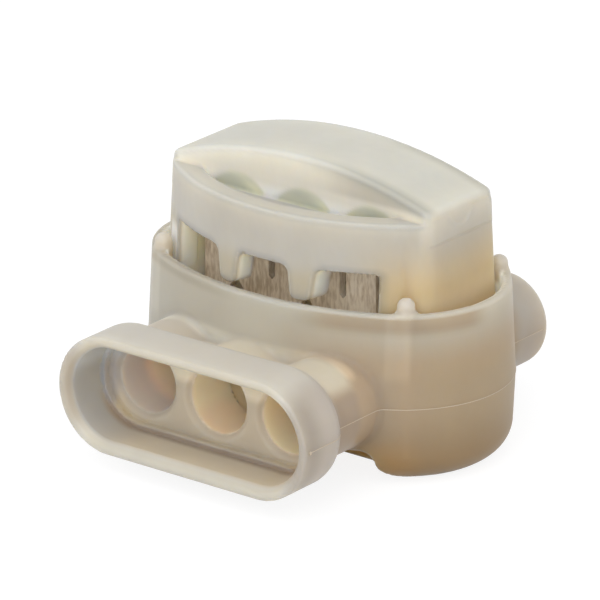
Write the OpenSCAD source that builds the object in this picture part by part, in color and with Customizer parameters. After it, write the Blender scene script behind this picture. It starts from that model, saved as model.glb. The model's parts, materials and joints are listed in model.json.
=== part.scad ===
// Three-port insulation displacement connector, open and ready for its wires.
// X runs along the row of ports, -Y points out of the mouth and Z is up.
// The origin is on the resting face, under the middle of the press cap.
// All sizes are in millimetres.

/* [Wire ports] */
// Number of wire ports in the row
port_count = 3; // [2:1:4]
// Distance between neighbouring port axes
port_pitch = 5.5; // [5.3:0.1:6.5]
// Bore of a wire port, for the largest insulated wire
port_d = 4.2; // [3.4:0.1:4.4]
// Height of the port axes above the resting face
port_axis_z = 5.1; // [4.9:0.1:5.5]
// Width of the countersunk ring round each port
port_flare = 0.35; // [0.1:0.05:0.4]
// Plastic round each port tube
tube_wall = 0.95; // [0.6:0.05:1.1]
// Height of the web that joins neighbouring tubes
tube_web_h = 4.6; // [3:0.1:5.4]

/* [Mouth collar] */
// Distance from the middle of the cap to the mouth
mouth_y = 14.9; // [13.6:0.1:17]
// Depth of the recess in the mouth
mouth_depth = 3.5; // [2.4:0.1:3.6]
// Height of the collar
collar_h = 7.6; // [7.1:0.1:8.4]
// Distance from the outer port axis to the end of the collar
collar_end = 4; // [3.8:0.1:5]
// Thickness of the collar's lip
collar_wall = 0.8; // [0.5:0.05:0.9]
// Thickness of the floor that carries the ports
collar_floor = 0.8; // [0.7:0.1:1.4]
// Bevel round the back edge of the collar
collar_bevel = 0.8; // [0.3:0.1:0.8]
// Softening of the lip's edges
lip_round = 0.15; // [0.05:0.05:0.2]
// Width of the bevel inside the lip
lip_bevel = 0.35; // [0.15:0.05:0.4]
// Width of the ledge round the floor of the recess
ledge_w = 0.3; // [0.1:0.05:0.35]
// Height of the ledge above the floor of the recess
ledge_h = 0.45; // [0.2:0.05:0.8]

/* [Base housing] */
// Distance from the outer port axis to the end of the base, at the parting line
base_end = 7; // [6.8:0.1:8]
// Depth of the base from front to back, at the parting line
base_depth = 16.6; // [16.5:0.1:18]
// Radius of the bowed ends in plan, at the parting line
base_end_r = 7; // [6.4:0.1:7.2]
// Height of the rim
base_h = 10.8; // [10.2:0.1:11]
// Thickness of the wall at the rim
base_wall = 0.6; // [0.4:0.05:0.65]
// Thickness of the floor
base_floor = 2.2; // [2:0.1:2.3]
// Draft of the walls above the parting line, in degrees
draft_up = 2.8; // [1:0.1:3]
// Draft of the walls below the parting line, in degrees
draft_down = 2.5; // [1:0.1:5]
// Radius round the bottom edge
base_edge_r = 2; // [0.5:0.1:2.2]
// Rounding of the rim's outer edge
rim_round = 0.2; // [0.1:0.05:0.3]
// Height of the hollow under the neck
neck_hollow_h = 2; // [1.2:0.1:2]
// How far the hollow under the neck reaches in from the front
neck_hollow_in = 5; // [1.5:0.1:5]
// Distance from the outer port axis to the end of that hollow
neck_hollow_end = 2.2; // [1:0.1:3]
// Thickness of the sill over that hollow
sill_t = 0.6; // [0.5:0.05:0.7]

/* [Blind nose] */
// Distance from the middle of the cap to the end of the nose
nose_y = 11.5; // [10.4:0.1:13]
// Thickness of the nose's end wall
nose_end_wall = 1; // [0.7:0.1:1.4]
// Rounding of the nose's end
nose_round = 0.7; // [0.3:0.1:0.9]
// How much smaller a pocket's radius is at its blind end
pocket_taper = 0.12; // [0.04:0.01:0.2]

/* [Guide posts] */
// Diameter of the four guide posts in the corners of the base
post_d = 1.1; // [0.8:0.1:1.2]
// Distance from the outer port axis to a post's axis, along the row
post_out = 3.85; // [3.6:0.05:3.95]
// Height of a post above the rim
post_rise = 1.2; // [0.8:0.1:2]
// Gap between a post and its groove in the cap
post_gap = 0.2; // [0.12:0.01:0.3]

/* [Wire cradles] */
// Height of the cradles' edges below the port axes
cradle_drop = 0.6; // [0.4:0.1:1.2]
// Gap between a cradle and the parts that come down round it
cradle_gap = 0.35; // [0.3:0.05:0.45]
// Length of each outer cradle along the wire
cradle_len = 2.4; // [1.5:0.1:2.8]
// Room round a wire in the cradles' grooves and the gel's passages, on the radius
groove_ease = 0.17; // [0.16:0.01:0.25]

/* [Press cap] */
// Height of the ends of the cap's crowned top above the resting face, before pressing
cap_top_z = 16.9; // [16.5:0.1:18.1]
// Rise of the crown from the cap's ends to its middle
crown_rise = 1.7; // [1:0.1:2.4]
// Distance from the outer port axis to the cap's end, at its top
cap_end = 4.3; // [4.1:0.05:4.4]
// Width of the crowned rib, and of the cap's flat ends at its top
cap_side_w = 6.4; // [6:0.1:6.7]
// Bow of the cap's front and back, at its top
cap_bow = 3.8; // [3:0.1:3.8]
// Draft of the cap's walls, in degrees
cap_draft = 2.8; // [1:0.1:2.8]
// Thickness of the front and back walls
cap_wall = 1.4; // [1:0.05:1.8]
// Distance from the outer port axis to the inside of the cap's end walls
cap_bay_end = 2.5; // [2.3:0.05:2.7]
// Travel of the cap when the pliers close it
cap_travel = 5; // [4.6:0.1:5.1]
// Gap left between the base's floor and the end walls of the pressed cap
cap_leg_gap = 1.2; // [0.8:0.1:2]

/* [Port windows] */
// Height of the windows' top edge, below the ends of the cap's top
window_drop = 3.8; // [3.5:0.1:4.1]
// Height of the teeth between the windows
tooth_h = 1.9; // [1.4:0.1:2.2]
// Width of a tooth at its root
tooth_root_w = 1.8; // [1.6:0.05:2.1]
// Width of a tooth at its tip
tooth_tip_w = 1.2; // [0.9:0.05:1.5]
// Rounding of the windows' corners
window_round = 0.45; // [0.2:0.05:0.55]

/* [Shelves and vaults] */
// How far the rim of the front or back shelf lies below the ends of the cap's top
shelf_drop = 0.6; // [0.4:0.05:0.9]
// Depth of a shelf's trough below the ends of the cap's top
trough_drop = 1.45; // [1.2:0.05:1.6]
// Width of the rim round a trough, at its top
shelf_rim = 1.4; // [0.9:0.05:1.6]
// Width of the slope from the rim down to the trough's floor
trough_slope = 0.4; // [0.1:0.05:0.6]
// Thickness of the cap's skin under a trough
cap_skin = 1; // [0.8:0.05:1.3]
// Radius of the three vaults inside the rib
vault_r = 2.35; // [1.8:0.05:2.45]
// Height of a vault's top above the ceiling
vault_rise = 1.65; // [0.8:0.05:1.9]
// Plastic left between a vault's ends and the faces of the rib
vault_wall = 0.6; // [0.5:0.05:0.8]

/* [Contact element] */
// Thickness of the contact's sheet
sheet_t = 0.6; // [0.4:0.05:0.7]
// Distance between the outer faces of the contact's two plates
contact_w = 4.74; // [4.4:0.02:5]
// Inside radius of the contact's folds
fold_r = 0.4; // [0.2:0.05:0.6]
// Height of the contact's tips above the wires' bores
tip_gap = 0.3; // [0.25:0.05:0.6]
// Width of a wire slot
slot_w = 0.45; // [0.3:0.05:0.6]
// Length of a wire slot from the tips
slot_len = 4.7; // [4:0.1:4.9]
// Width of the lead-in at a slot's mouth
lead_w = 2.6; // [1.6:0.1:3]
// Length of the lead-in
lead_len = 1.5; // [0.8:0.1:2]
// Width of the slits between the legs
slit_w = 0.5; // [0.3:0.05:0.7]
// Height of the slits' lower ends above the contact's tips
slit_rise = 2.2; // [1.8:0.1:2.6]
// Height of the contact above the slits
slit_top = 1.35; // [1.2:0.05:2]

/* [Sealing gel] */
// Height of the gel's surface below the contact's tips
gel_drop = 0.5; // [0.3:0.1:1.5]
// Gap between the gel and what holds it
gel_gap = 0.05; // [0.03:0.01:0.1]

/* [Hidden] */

// Cuts run past the faces that they open by this much
cut = 1;
// A solid sinks this far into the one that it joins
join = 0.2;
// Steps round the bottom edge
edge_steps = 5;

// The row of ports
row = (port_count - 1) * port_pitch;
row_half = row / 2;
port_x = [for (i = [0 : port_count - 1]) i * port_pitch - row_half];
gap_x = [for (i = [0 : port_count - 2]) port_x[i] + port_pitch / 2];
port_r = port_d / 2;
tube_r = port_r + tube_wall;
floor_y = mouth_y - mouth_depth;

// The base's plan is an oval of four arcs that meet smoothly
base_half_l = row_half + base_end;
base_half_d = base_depth / 2;
end_cx = base_half_l - base_end_r;
bow_r = (pow(base_half_d, 2) + pow(end_cx, 2) - pow(base_end_r, 2)) / (2 * (base_half_d - base_end_r));
bow_cy = bow_r - base_half_d;
meet_angle = atan2(bow_cy, end_cx);
inset_up = (base_h - port_axis_z) * tan(draft_up);
bay_inset = inset_up + base_wall;

// The guide posts stand on the inside of the end arcs
post_x = row_half + post_out;
post_y = sqrt(pow(base_end_r - bay_inset, 2) - pow(post_x - end_cx, 2));
post_r = post_d / 2;

// The press cap
cap_half_l = row_half + cap_end;
cap_half_d = cap_side_w / 2 + cap_bow;
cap_r = (pow(cap_half_l, 2) + pow(cap_bow, 2)) / (2 * cap_bow);
cap_cy = cap_r - cap_half_d;
window_z = cap_top_z - window_drop;
tooth_z = window_z - tooth_h;
cap_low = base_floor + cap_travel + cap_leg_gap;
cap_slant = tan(cap_draft);
bay_half_l = row_half + cap_bay_end;
crown_r = (pow(cap_half_l, 2) + pow(crown_rise, 2)) / (2 * crown_rise);
shelf_z = cap_top_z - shelf_drop;
trough_z = cap_top_z - trough_drop;
ceiling_z = trough_z - cap_skin;

// The contact hangs under the cap's ceiling, above the wires
tip_z = port_axis_z + port_r + tip_gap;
slit_z = tip_z + slit_rise;
gel_z = tip_z - gel_drop;

// The wires' way: ports in front of the cradles, grooves in them, pockets behind
cradle_reach = contact_w / 2 + cradle_gap + cradle_len;
groove_r = port_r + groove_ease;

// Inset of the outside wall at a height, by the draft above and below the parting line
function wall_inset(z) = z > port_axis_z
    ? (z - port_axis_z) * tan(draft_up)
    : (port_axis_z - z) * tan(draft_down);

// Heights and insets of the base's outside: a round bottom edge, the parting line, the rim
outside = concat(
    [for (i = [0 : edge_steps]) let (a = 90 - 90 * i / edge_steps, z = base_edge_r * (1 - sin(a)))
        [z, wall_inset(z) + base_edge_r * (1 - cos(a))]],
    [[port_axis_z, 0],
     [base_h - rim_round, wall_inset(base_h - rim_round)],
     [base_h, inset_up + rim_round]]);

// The half section of an arc of radius r through [height, inset] levels
module arc_section(r, levels) {
    polygon(concat([[0, levels[0][0]]],
        [for (level = levels) [r - level[1], level[0]]],
        [[0, levels[len(levels) - 1][0]]]));
}

// An oval solid through [height, inset] levels: a bowed front and back between
// the rays where they meet the end arcs, and a solid of revolution at each end
module oval(levels) {
    low = levels[0][0];
    high = levels[len(levels) - 1][0];
    far_x = end_cx + base_depth * cos(meet_angle);
    far_y = base_depth * sin(meet_angle);
    intersection() {
        bow(1, levels);
        bow(-1, levels);
        translate([0, 0, low]) linear_extrude(high - low) polygon([
            [end_cx, 0], [far_x, far_y], [-far_x, far_y],
            [-end_cx, 0], [-far_x, -far_y], [far_x, -far_y]]);
    }
    for (side = [-1, 1]) translate([side * end_cx, 0, 0]) rotate_extrude($fn = 120) arc_section(base_end_r, levels);
}

// The bow's solid of revolution about its distant upright axis
module bow(side, levels) {
    translate([0, side * bow_cy, 0]) rotate_extrude($fn = 240) arc_section(bow_r, levels);
}

// Turns what is drawn in X and Z so that it runs from y0 to y1
module along_y(y0, y1) {
    translate([0, y1, 0]) rotate([90, 0, 0]) linear_extrude(y1 - y0) children();
}

// Round rods on the port axes from y0 to y1
module port_rods(r, y0, y1) {
    for (x = port_x) translate([x, y1, port_axis_z]) rotate([90, 0, 0]) cylinder(r = r, h = y1 - y0, $fn = 64);
}

// The tubes' outside, joined by a web
module tubes(y0, y1) {
    port_rods(tube_r, y0, y1);
    translate([-row_half, y0, port_axis_z - tube_web_h / 2]) cube([row, y1 - y0, tube_web_h]);
}

// The pockets in the nose, tapered like the pins that mould them
module pockets() {
    depth = nose_y - nose_end_wall - cradle_reach;
    for (x = port_x) translate([x, cradle_reach + depth, port_axis_z]) rotate([90, 0, 0])
        cylinder(r1 = port_r - pocket_taper, r2 = port_r, h = depth, $fn = 64);
}

// The blind nose: tubes with a round end behind the base
module nose() {
    tubes(0, nose_y - nose_round);
    for (x = port_x) translate([x, nose_y, port_axis_z]) rotate([90, 0, 0]) rotate_extrude($fn = 64)
        difference() {
            square([tube_r, nose_round]);
            translate([tube_r - nose_round, 0]) difference() {
                square(nose_round);
                translate([0, nose_round]) circle(r = nose_round, $fn = 32);
            }
        }
    translate([-row_half, nose_y - nose_round - join, port_axis_z - tube_web_h / 2 + nose_round])
        cube([row, nose_round + join, tube_web_h - 2 * nose_round]);
}

// A solid with round ends at the height of the port axes: its half section, in
// [radius, y] points, turned about each end's axis and swept between the two
module race(end_x, section) {
    n = len(section);
    for (side = [-1, 1]) translate([side * end_x, 0, port_axis_z]) rotate([-90, 0, 0]) rotate_extrude($fn = 64)
        polygon(concat([[0, section[0].y]], section, [[0, section[n - 1].y]]));
    translate([-end_x, 0, port_axis_z]) rotate([90, 0, 90]) linear_extrude(2 * end_x) polygon(concat(
        [for (p = section) [p.y, p.x]],
        [for (i = [n - 1 : -1 : 0]) [section[i].y, -section[i].x]]));
}

// The collar's outside, with softened edges
module collar() {
    r = collar_h / 2;
    back_y = -floor_y + collar_floor;
    race(row_half + collar_end - r, [
        [r - lip_round, -mouth_y],
        [r, -mouth_y + lip_round],
        [r, back_y - collar_bevel],
        [r - collar_bevel * 0.3, back_y - collar_bevel * 0.3],
        [r - collar_bevel, back_y]]);
}

// The recess in the mouth, with a ledge round its floor
module mouth() {
    r = collar_h / 2 - collar_wall;
    race(row_half + collar_end - collar_h / 2, [
        [r + lip_bevel, -mouth_y - cut],
        [r + lip_bevel, -mouth_y],
        [r, -mouth_y + 1.5 * lip_bevel],
        [r, -floor_y - ledge_h],
        [r - ledge_w, -floor_y - ledge_h],
        [r - ledge_w, -floor_y]]);
}

// The countersunk rings at the ports
module flares() {
    for (x = port_x) translate([x, -floor_y + port_flare, port_axis_z]) rotate([90, 0, 0])
        cylinder(r1 = port_r, r2 = port_r + 2 * port_flare, h = 2 * port_flare, $fn = 64);
}

// The hollow in the bottom edge under the neck, with an arched top
module neck_hollow() {
    half_l = row_half + neck_hollow_end;
    arch_r = neck_hollow_h - 0.1;
    along_y(-base_half_d - cut, -base_half_d + neck_hollow_in) {
        translate([-half_l, -cut]) square([2 * half_l, neck_hollow_h + cut - arch_r]);
        translate([-half_l + arch_r, -cut]) square([2 * (half_l - arch_r), neck_hollow_h + cut]);
        for (side = [-1, 1]) translate([side * (half_l - arch_r), neck_hollow_h - arch_r]) circle(r = arch_r, $fn = 48);
    }
}

// The sill over that hollow, inside the chamber
module neck_sill() {
    half_l = row_half + neck_hollow_end + sill_t;
    depth = neck_hollow_in + sill_t;
    translate([-half_l, -base_half_d, base_floor - join])
        cube([2 * half_l, depth, neck_hollow_h + sill_t - base_floor + join]);
}

// The cradles that carry the wires under the contact
module cradles(grow) {
    h = port_axis_z - cradle_drop - base_floor + join + grow;
    half_l = bay_half_l - cradle_gap + grow;
    outer_y = contact_w / 2 + cradle_gap - grow;
    inner_y = contact_w / 2 - sheet_t - cradle_gap + grow;
    translate([-half_l, -inner_y, base_floor - join]) cube([2 * half_l, 2 * inner_y, h]);
    for (y = [-outer_y - cradle_len - 2 * grow, outer_y]) translate([-half_l, y, base_floor - join])
        cube([2 * half_l, cradle_len + 2 * grow, h]);
}

// The round-topped posts that guide the cap
module posts(grow) {
    top = base_h + post_rise - post_r;
    for (sx = [-1, 1]) for (sy = [-1, 1]) translate([sx * post_x, sy * post_y, 0]) {
        translate([0, 0, base_floor - join]) cylinder(r = post_r + grow, h = top - base_floor + join, $fn = 32);
        translate([0, 0, top]) sphere(r = post_r + grow, $fn = 32);
    }
}

// The base: one moulding with collar, neck, chamber and blind nose
module base_housing() color([0.82, 0.79, 0.73]) {
    difference() {
        union() {
            difference() {
                union() {
                    oval(outside);
                    tubes(-floor_y, 0);
                    nose();
                    collar();
                }
                difference() {
                    oval([[base_floor, bay_inset], [base_h + cut, bay_inset]]);
                    neck_sill();
                }
            }
            cradles(0);
            posts(0);
        }
        mouth();
        flares();
        port_rods(port_r, -floor_y - cut, -cradle_reach);
        port_rods(groove_r, -cradle_reach - join, cradle_reach + join);
        pockets();
        neck_hollow();
    }
}

// The cap's bowed front or back: a cone about a distant upright axis
module cap_bowed(side, inset, z0, z1) {
    translate([0, side * cap_cy, z0]) cylinder(
        r1 = cap_r - inset + (cap_top_z - z0) * cap_slant,
        r2 = cap_r - inset + (cap_top_z - z1) * cap_slant,
        h = z1 - z0, $fn = 180);
}

// The cap's drafted ends in X and Z, from its lower edge up to height z1
module cap_ends(z1) {
    low_half_l = cap_half_l + (cap_top_z - cap_low) * cap_slant;
    high_half_l = cap_half_l + (cap_top_z - z1) * cap_slant;
    polygon([[-low_half_l, cap_low], [low_half_l, cap_low], [high_half_l, z1], [-high_half_l, z1]]);
}

// The cap's outside up to the rims of its shelves, widening towards its lower edge
module cap_outside() {
    intersection() {
        cap_bowed(1, 0, cap_low, shelf_z);
        cap_bowed(-1, 0, cap_low, shelf_z);
        along_y(-base_depth, base_depth) cap_ends(shelf_z);
    }
}

// The rib that stands between the shelves, with its crowned top
module rib() {
    along_y(-cap_side_w / 2, cap_side_w / 2) intersection() {
        cap_ends(cap_top_z + crown_rise);
        translate([0, cap_top_z + crown_rise - crown_r]) circle(r = crown_r, $fn = 240);
    }
}

// The trough in the front (-1) or back (1) shelf, between the rib and the shelf's rim
module trough(side) {
    h = shelf_z - trough_z + cut;
    slope = trough_slope / (shelf_z - trough_z);
    intersection() {
        translate([0, -side * cap_cy, trough_z]) cylinder(
            r1 = cap_r - shelf_rim - trough_slope,
            r2 = cap_r - shelf_rim - trough_slope + slope * h,
            h = h, $fn = 180);
        translate([-cap_half_l, (side - 1) / 2 * base_depth + side * cap_side_w / 2, trough_z])
            cube([2 * cap_half_l, base_depth, h]);
    }
}

// The round-topped vaults inside the rib, one over each port
module vaults() {
    y = cap_side_w / 2 - vault_wall;
    for (x = port_x) translate([x, y, ceiling_z + vault_rise - vault_r]) rotate([90, 0, 0])
        cylinder(r = vault_r, h = 2 * y, $fn = 64);
}

// The bay inside the cap, between its end walls and under its ceiling
module cap_bay() {
    intersection() {
        cap_bowed(1, cap_wall, cap_low - cut, ceiling_z);
        cap_bowed(-1, cap_wall, cap_low - cut, ceiling_z);
        translate([-bay_half_l, -base_depth, cap_low - cut])
            cube([2 * bay_half_l, 2 * base_depth, ceiling_z - cap_low + cut]);
    }
}

// A tooth between two windows in X and Z, with a rounded tip
module tooth(x) {
    lean = atan2((tooth_root_w - tooth_tip_w) / 2, tooth_h);
    cx = tooth_tip_w / 2 + window_round * (tan(lean) - 1 / cos(lean));
    side_x = cx + window_round * cos(lean);
    side_z = window_round * (1 - sin(lean));
    translate([x, tooth_z]) {
        polygon([
            [-cx, 0], [cx, 0], [side_x, side_z], [tooth_root_w / 2, tooth_h], [tooth_root_w / 2, tooth_h + cut],
            [-tooth_root_w / 2, tooth_h + cut], [-tooth_root_w / 2, tooth_h], [-side_x, side_z]]);
        for (side = [-1, 1]) translate([side * cx, window_round]) circle(r = window_round, $fn = 32);
    }
}

// The plastic that rounds a window's upper corner; side is the window's side of x,
// and lean is how far the jamb leans away from it on the way down
module window_corner(x, side, lean) {
    r = window_round;
    cx = r * (1 / cos(lean) - tan(lean));
    translate([x, window_z]) difference() {
        polygon([
            [side * cx, -r], [side * cx, join], [-side * join, join], [-side * join, -r * (1 - sin(lean))],
            [side * (cx - r * cos(lean)), -r * (1 - sin(lean))]]);
        translate([side * cx, -r]) circle(r = r, $fn = 32);
    }
}

// The port windows in X and Z, with teeth left between them
module window_outline() {
    low = cap_low - cut;
    lean = atan2((tooth_root_w - tooth_tip_w) / 2, tooth_h);
    difference() {
        translate([-bay_half_l, low]) square([2 * bay_half_l, window_z - low]);
        for (x = gap_x) tooth(x);
        for (x = gap_x, side = [-1, 1]) window_corner(x + side * tooth_root_w / 2, side, lean);
        for (side = [-1, 1]) window_corner(side * bay_half_l, -side, 0);
    }
}

// The press cap: one moulding that holds the contact
module press_cap() color([0.86, 0.84, 0.79]) {
    difference() {
        union() {
            cap_outside();
            rib();
        }
        cap_bay();
        vaults();
        along_y(-base_depth, base_depth) window_outline();
        for (side = [-1, 1]) trough(side);
        for (sx = [-1, 1]) for (sy = [-1, 1]) translate([sx * post_x, sy * post_y, cap_low - cut])
            cylinder(r = post_r + post_gap, h = cap_top_z - cap_low + 2 * cut, $fn = 32);
    }
}

// The folded sheet in Y and Z: a web on top and a plate on each side
module contact_section() {
    half_w = contact_w / 2;
    out_r = fold_r + sheet_t;
    for (side = [-1, 1]) {
        translate([side * (half_w - sheet_t / 2) - sheet_t / 2, tip_z]) square([sheet_t, ceiling_z - out_r - tip_z]);
        intersection() {
            translate([side * (half_w - out_r), ceiling_z - out_r]) difference() {
                circle(r = out_r, $fn = 48);
                circle(r = fold_r, $fn = 48);
            }
            translate([side * (half_w - out_r / 2) - out_r / 2, ceiling_z - out_r]) square(out_r);
        }
    }
    translate([-half_w + out_r, ceiling_z - sheet_t]) square([2 * (half_w - out_r), sheet_t]);
}

// The contact: one stamped sheet, slotted for the wires and folded over
module contact_element() color([0.62, 0.60, 0.55]) {
    y = contact_w / 2 + cut;
    difference() {
        translate([-bay_half_l, 0, 0]) rotate([90, 0, 90]) linear_extrude(2 * bay_half_l) contact_section();
        for (x = port_x) translate([x, 0, tip_z]) {
            along_y(-y, y) polygon([
                [-lead_w / 2, -cut], [lead_w / 2, -cut], [lead_w / 2, 0],
                [slot_w / 2, lead_len], [slot_w / 2, slot_len - slot_w / 2],
                [-slot_w / 2, slot_len - slot_w / 2], [-slot_w / 2, lead_len], [-lead_w / 2, 0]]);
            translate([0, y, slot_len - slot_w / 2]) rotate([90, 0, 0]) cylinder(d = slot_w, h = 2 * y, $fn = 24);
        }
        for (x = gap_x) translate([x, 0, 0]) along_y(-y, y) polygon([
            [0, slit_z], [slit_w / 2, slit_z + slit_w / 2], [slit_w / 2, ceiling_z - slit_top],
            [-slit_w / 2, ceiling_z - slit_top], [-slit_w / 2, slit_z + slit_w / 2]]);
    }
}

// The sealing gel that fills the chamber round the wires' passages
module sealing_gel() color([0.88, 0.80, 0.55]) {
    difference() {
        oval([[base_floor + gel_gap, bay_inset + gel_gap], [gel_z, bay_inset + gel_gap]]);
        cradles(gel_gap);
        translate([0, gel_gap, gel_gap]) neck_sill();
        posts(gel_gap);
        port_rods(groove_r + gel_gap, -base_depth, base_depth);
    }
}

base_housing();
press_cap();
contact_element();
sealing_gel();
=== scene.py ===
# %% [markdown]
# # A three-port insulation displacement connector
# The real part is two milky polypropylene mouldings, an oval base with a ported
# mouth and a press cap, that hold one folded metal contact over a bed of gel.
# The exact solids come from the CAD frame. This script gives them soft moulded
# edges, translucent plastic, tin-plated metal, a pale floor and the camera.

# %% Load the frame
import json
import math

import bpy
import numpy as np
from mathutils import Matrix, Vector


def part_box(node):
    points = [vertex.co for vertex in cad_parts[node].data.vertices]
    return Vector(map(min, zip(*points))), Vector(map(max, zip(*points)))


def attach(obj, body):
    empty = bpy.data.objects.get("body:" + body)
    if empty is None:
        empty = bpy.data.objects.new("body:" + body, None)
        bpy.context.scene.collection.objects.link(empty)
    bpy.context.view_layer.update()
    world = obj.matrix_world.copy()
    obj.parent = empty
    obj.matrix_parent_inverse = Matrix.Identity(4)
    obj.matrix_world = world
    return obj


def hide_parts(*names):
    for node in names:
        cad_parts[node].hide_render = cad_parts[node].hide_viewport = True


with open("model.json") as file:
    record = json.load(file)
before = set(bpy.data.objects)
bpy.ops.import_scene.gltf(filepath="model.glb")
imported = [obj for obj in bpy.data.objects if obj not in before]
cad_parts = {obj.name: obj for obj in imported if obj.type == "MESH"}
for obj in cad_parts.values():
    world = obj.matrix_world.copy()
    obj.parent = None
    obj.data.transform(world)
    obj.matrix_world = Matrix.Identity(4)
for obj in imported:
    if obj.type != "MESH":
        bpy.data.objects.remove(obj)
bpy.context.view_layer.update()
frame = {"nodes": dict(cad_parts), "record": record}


# %% [markdown]
# ## Sizes
# The mouldings are drawn here again with soft edges, so the script needs their main
# sizes. The ports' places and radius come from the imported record. The other sizes are
# those of the CAD source, in millimetres, written once each: here where both mouldings
# need them, and otherwise beside their piece. A few follow the photograph more closely
# than the solids do, and their comments say so. The box of the loaded node is printed
# with its piece's sizes, so that a change in the CAD source shows up at once.

# %% Sizes that both mouldings share, in millimetres
MM = 0.001

# The row of ports
port_mounts = [mount for mount in frame["record"]["mounts"] if mount["name"].startswith("port_")]
PORTS = np.array(sorted(round(mount["pos_m"][0] / MM, 3) for mount in port_mounts))
AXIS_Z = round(port_mounts[0]["pos_m"][2] / MM, 3)
PORT_R = port_mounts[0]["dims"]["r_mm"]

# The oval tub's end arcs, height and wall, and the draft of each wall above the ports' height
END_R, END_CX, BASE_H, WALL = 7.0, 5.5, 10.8, 0.6
DRAFT_UP = math.tan(math.radians(2.8))
BAY_INSET = (BASE_H - AXIS_Z) * DRAFT_UP + WALL

# The guide posts, which have their axes on the chamber's wall
POST_X, POST_R = 9.35, 0.55
POST_Y = math.sqrt((END_R - BAY_INSET) ** 2 - (POST_X - END_CX) ** 2)


def box_in_mm(node):
    """Lowest and highest corner of a loaded node, in millimetres."""
    low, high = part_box(node)
    return [round(v / MM, 2) for v in (*low, *high)]


print("ports at", PORTS, "with radius", PORT_R, "and posts at", POST_X, round(POST_Y, 2))

# %% [markdown]
# ## Soft shapes
# A moulding has no sharp edge: each corner carries a small radius, and tubes, posts
# and walls run into each other with fillets. Bevelling the booleans of a CAD mesh
# tears at such junctions. So each moulding is written as a distance, negative inside
# the plastic and positive outside, and shapes are joined or cut with a radius. The
# last value in each such call is the radius of that edge or fillet in millimetres.
# These helpers work on whole arrays of points at once.


# %% Helpers that join and cut shapes with a radius
def ease(value, start, end):
    """A soft step from 0 at start to 1 at end: 3t² - 2t³ of the share between them."""
    t = np.clip((value - start) / (end - start), 0, 1)
    return t * t * (3 - 2 * t)


def both(a, b, r):
    """Where a and b overlap, with an edge of radius r. Within r of both faces, the distance
    is measured from the edge's own axis: hypot(a + r, b + r) - r."""
    return np.minimum(-r, np.maximum(a, b)) + np.hypot(np.maximum(a + r, 0), np.maximum(b + r, 0))


def either(a, b, r):
    """a and b joined, with a fillet of radius r: the overlap of the two outsides, turned inside out."""
    return -both(-a, -b, r)


def without(a, b, r):
    """a with b cut out of it, with an edge of radius r round the opening."""
    return both(a, -b, r)


print("a sharp corner stands", both(0.0, 0.0, 0.5).round(3), "mm outside its edge of radius 0.5 mm")


# %% Distances from the ports and the posts
def port_gap(x):
    """Distance along X from the nearest port axis."""
    return np.minimum(np.minimum(np.abs(x - PORTS[0]), np.abs(x - PORTS[1])), np.abs(x - PORTS[2]))


def port_distance(x, z):
    """Distance from the nearest port axis, a line along Y."""
    return np.hypot(port_gap(x), z - AXIS_Z)


def post_distance(x, y):
    """Distance from the nearest post axis, a line along Z: the four posts fold into one by symmetry."""
    return np.hypot(np.abs(x) - POST_X, np.abs(y) - POST_Y)


print("the left middle is", post_distance(-POST_X, 0.0).round(2), "mm from the nearest post")

# %% [markdown]
# ## The base
# The base is one moulding: an oval tub with draft above and below its parting line,
# three tubes that run from the collared mouth through the tub to a blind nose, four
# guide posts and the cradles under the contact. The distance is built in the order
# in which a toolmaker would think of it, outside first and hollows after.

# %% Sizes of the base
# The tubes round the ports and half the height of the webs between them
TUBE_R, WEB_HALF = 3.05, 2.3

# The mouth: a stadium round the ports with a recess, a ledge and a bevelled lip
MOUTH_Y, RECESS_Y, COLLAR_R, COLLAR_CX, LIP = 14.9, 11.4, 3.8, 5.7, 0.8
COLLAR_FLOOR, COLLAR_BACK_R, LIP_R = 0.8, 1.3, 0.15
LEDGE_W, LEDGE_H = 0.3, 0.45
BEVEL_W, BEVEL_SLOPE, BEVEL_COS, BEVEL_DEPTH = 0.35, 1.5, 0.832, 0.6

# The tub's bowed arcs, floor, lower draft and edges. The rim stands a little higher in the
# photograph than in the solids.
HALF_D, FLOOR = 8.3, 2.2
BOW_R = (HALF_D**2 + END_CX**2 - END_R**2) / (2 * (HALF_D - END_R))
BOW_CY = BOW_R - HALF_D
DRAFT_DOWN = math.tan(math.radians(2.5))
BOTTOM_EDGE_R, RIM_R, RIM_EXTRA = 2.0, 0.2, 0.2

# The wires' way: countersunk ports, grooves with more room, and pockets that narrow in the nose
PORT_END, FLARE, GROOVE_EASE, GROOVE_END = 5.12, 0.35, 0.17, 5.32
NOSE_Y, NOSE_R, POCKET_END, POCKET_TAPER = 11.5, 0.7, 10.5, 0.12

# The posts' tops, the cradles, one bar in the middle and one either side of it, and their roots
POST_TOP = 12.0
CRADLE_X, CRADLE_TOP, MIDDLE_HALF, OUTER_Y, OUTER_HALF = 7.65, 4.5, 1.42, 3.92, 1.2
ROOT_Z = 2.0

# The hollow under the neck, and the sill that keeps the chamber's floor whole over it
HOLLOW_X, HOLLOW_R, HOLLOW_TOP, HOLLOW_Y, HOLLOW_HALF = 9.3, 1.3, 2.12, 6.3, 3.0
SILL_X, SILL_Y, SILL_TOP = 8.3, 2.7, 2.6
print("base_housing", box_in_mm("base_housing"))


# %% The outlines of the mouth and the tub
def collar_distance(x, z):
    """Distance from a stadium round the ports: from the segment between two end axes, less the radius."""
    return np.hypot(np.maximum(np.abs(x) - COLLAR_CX, 0), z - AXIS_Z) - COLLAR_R


def oval_distance(x, y):
    """Distance from the plan of four arcs: to the end arc inside its wedge, otherwise to the
    bowed arc about its distant centre."""
    ax, ay = np.abs(x), np.abs(y)
    in_wedge = ay * END_CX < (ax - END_CX) * BOW_CY
    end = np.hypot(ax - END_CX, ay) - END_R
    bow = np.hypot(x, ay + BOW_CY) - BOW_R
    return np.where(in_wedge, end, bow)


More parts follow.
